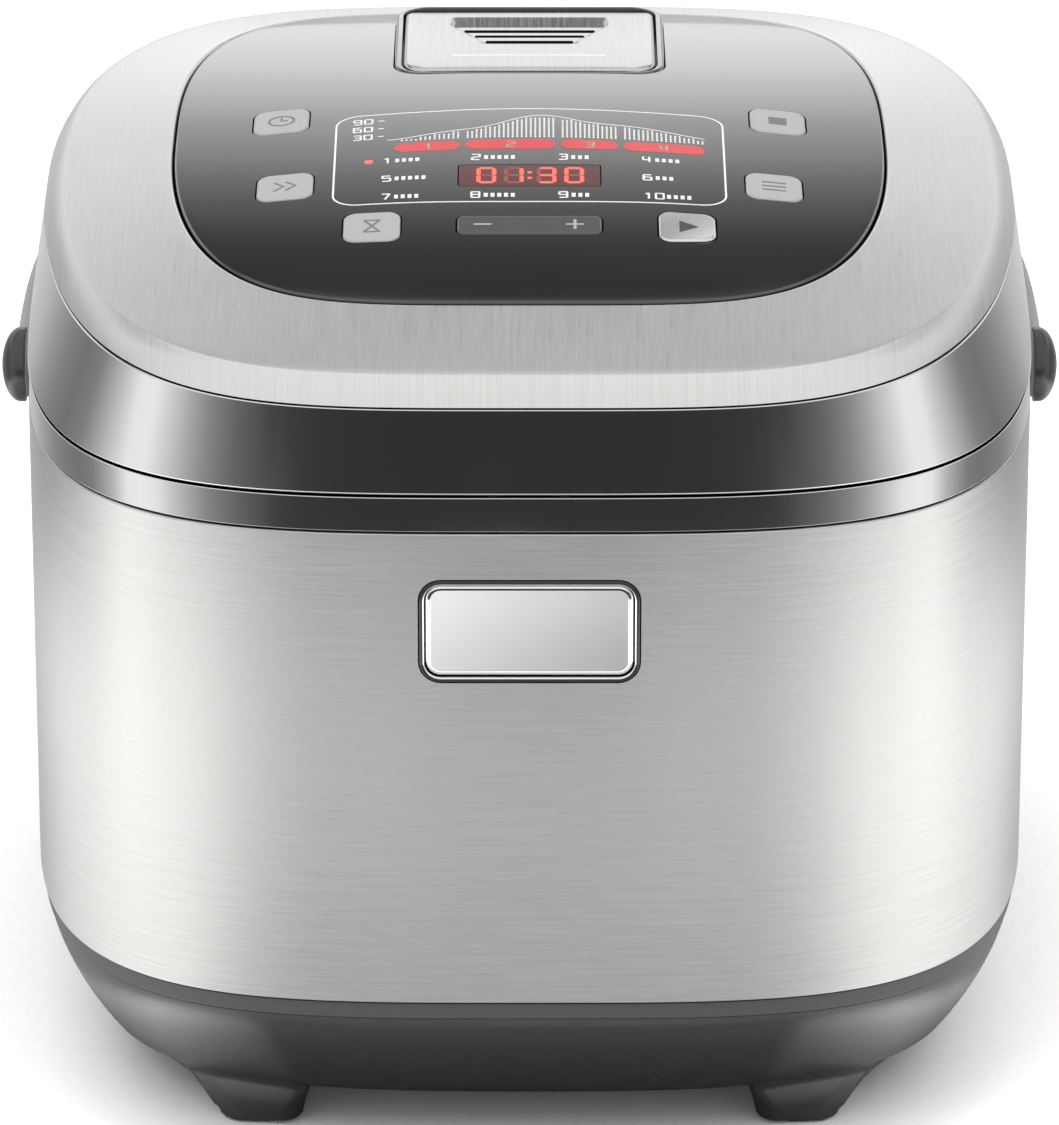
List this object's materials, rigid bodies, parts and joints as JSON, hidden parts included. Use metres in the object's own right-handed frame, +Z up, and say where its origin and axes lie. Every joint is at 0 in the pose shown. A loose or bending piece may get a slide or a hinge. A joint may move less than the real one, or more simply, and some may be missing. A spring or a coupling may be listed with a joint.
{
  "type": "rice cooker",
  "caption": "Rounded electric rice cooker with a steel-wrapped body, domed hinged lid with a control panel and steam vent, lift-out pot and rear-folding bail handle.",
  "frame": {"origin": "centre of the footprint on the table, halfway between the front wall and the back of the stowed handle", "axes": "+Z up, front with the release button faces -Y, +X to the right seen from the front"},
  "size_m": [0.3062, 0.3558, 0.2594],
  "materials": {
    "brushed_steel": "fine straight brushing on bright stainless steel",
    "smoked_chrome": "glossy dark metallic plating",
    "bright_chrome": "bright polished plating",
    "panel_gloss": "glossy black fascia",
    "base_plastic": "dark grey semi-gloss moulding",
    "key_plastic": "pale grey satin keys",
    "silver_key": "silver satin key",
    "rocker_plastic": "dark grey rocker bar",
    "handle_plastic": "light grey satin bail",
    "frame_plastic": "grey heat-resistant moulding",
    "foot_rubber": "dark rubber",
    "silicone": "translucent pale silicone",
    "aluminium": "plain satin aluminium",
    "pot_coating": "dark grey non-stick coating",
    "plain_steel": "plain zinc-plated steel",
    "circuit_board": "green solder mask",
    "display_red": "dark red clear window",
    "component_black": "black moulded housing",
    "copper_winding": "yellow taped winding"
  },
  "bodies": {
    "body": {"outer_shell": "brushed_steel", "upper_collar": "smoked_chrome", "base_housing": "base_plastic", "base_trim": "base_plastic", "release_bezel": "base_plastic", "hinge_bracket": "base_plastic", "foot_pad_front_left": "foot_rubber", "foot_pad_front_right": "foot_rubber", "foot_pad_rear_left": "foot_rubber", "foot_pad_rear_right": "foot_rubber", "side_heater_belt": "silicone", "well_liner": "aluminium", "heater_plate": "aluminium", "inner_pot": "pot_coating", "heat_shield": "plain_steel", "heating_element": "plain_steel", "sensor_holder": "plain_steel", "sensor_spring": "plain_steel", "release_spring": "plain_steel", "lid_spring": "plain_steel", "latch_pin": "plain_steel", "hinge_pin": "plain_steel", "handle_stud_left": "plain_steel", "handle_stud_right": "plain_steel", "main_board": "circuit_board", "power_relay": "component_black", "power_inlet": "component_black", "power_transformer": "copper_winding"},
    "lid": {"lid_band": "smoked_chrome", "lid_frame": "frame_plastic", "lid_catch": "plain_steel", "lid_cover": "brushed_steel", "control_panel": "panel_gloss", "display_lens": "display_red", "control_board": "circuit_board", "display_module": "component_black", "vent_seat": "base_plastic", "steam_tube": "silicone", "lid_heater_plate": "aluminium", "inner_lid_plate": "aluminium", "inner_lid_gasket": "silicone", "plate_grommet": "silicone", "lid_hinge_arm": "base_plastic"},
    "handle": {"handle_bail": "handle_plastic", "handle_grip": "base_plastic", "handle_cap_left": "base_plastic", "handle_cap_right": "base_plastic"},
    "release_button": {"release_button": "bright_chrome"},
    "latch_lever": {"latch_lever": "plain_steel"},
    "pot_sensor": {"pot_sensor": "aluminium"},
    "vent_cap": {"vent_cap": "bright_chrome"},
    "adjust_rocker": {"adjust_rocker": "rocker_plastic"},
    "delay_button": {"delay_button": "key_plastic"},
    "quick_button": {"quick_button": "key_plastic"},
    "time_button": {"time_button": "key_plastic"},
    "start_button": {"start_button": "silver_key"},
    "function_button": {"function_button": "key_plastic"},
    "cancel_button": {"cancel_button": "key_plastic"}
  },
  "joints": [
    {"name": "lid_hinge", "type": "hinge", "parent": "body", "child": "lid", "pos_m": [0, 0.1464, 0.2056], "axis": [-1, 0, 0], "range_deg": [0, 88]},
    {"name": "handle_swing", "type": "hinge", "parent": "body", "child": "handle", "pos_m": [0, -0.0126, 0.1819], "axis": [1, 0, 0], "range_deg": [0, 90]},
    {"name": "release_press", "type": "slide", "parent": "body", "child": "release_button", "axis": [0, 1, 0], "range_m": [0, 0.003], "stiffness_N_per_m": 600, "springref_m": -0.002, "deforming": ["release_spring"]},
    {"name": "latch_turn", "type": "hinge", "parent": "body", "child": "latch_lever", "pos_m": [0, -0.1636, 0.1923], "axis": [1, 0, 0], "range_deg": [0, 9]},
    {"name": "sensor_press", "type": "slide", "parent": "body", "child": "pot_sensor", "axis": [0, 0, -1], "range_m": [0, 0.003], "stiffness_N_per_m": 400, "springref_m": -0.003, "deforming": ["sensor_spring"]},
    {"name": "vent_lift", "type": "slide", "parent": "lid", "child": "vent_cap", "axis": [0, 0, 1], "range_m": [0, 0.03]},
    {"name": "delay_press", "type": "slide", "parent": "lid", "child": "delay_button", "axis": [0, 0, -1], "range_m": [0, 0.0007], "stiffness_N_per_m": 800, "springref_m": -0.0006},
    {"name": "quick_press", "type": "slide", "parent": "lid", "child": "quick_button", "axis": [0, 0, -1], "range_m": [0, 0.0007], "stiffness_N_per_m": 800, "springref_m": -0.0006},
    {"name": "time_press", "type": "slide", "parent": "lid", "child": "time_button", "axis": [0, 0, -1], "range_m": [0, 0.0007], "stiffness_N_per_m": 800, "springref_m": -0.0006},
    {"name": "start_press", "type": "slide", "parent": "lid", "child": "start_button", "axis": [0, 0, -1], "range_m": [0, 0.0007], "stiffness_N_per_m": 800, "springref_m": -0.0006},
    {"name": "function_press", "type": "slide", "parent": "lid", "child": "function_button", "axis": [0, 0, -1], "range_m": [0, 0.0007], "stiffness_N_per_m": 800, "springref_m": -0.0006},
    {"name": "cancel_press", "type": "slide", "parent": "lid", "child": "cancel_button", "axis": [0, 0, -1], "range_m": [0, 0.0007], "stiffness_N_per_m": 800, "springref_m": -0.0006},
    {"name": "rocker_tilt", "type": "hinge", "parent": "lid", "child": "adjust_rocker", "pos_m": [0, -0.0878, 0.2542], "axis": [0, 1, 0], "range_deg": [-1.5, 1.5], "stiffness_Nm_per_rad": 0.8}
  ],
  "couplings": [
    {"joint": "latch_turn", "follows": "release_press", "rad_per_m": 52}
  ]
}
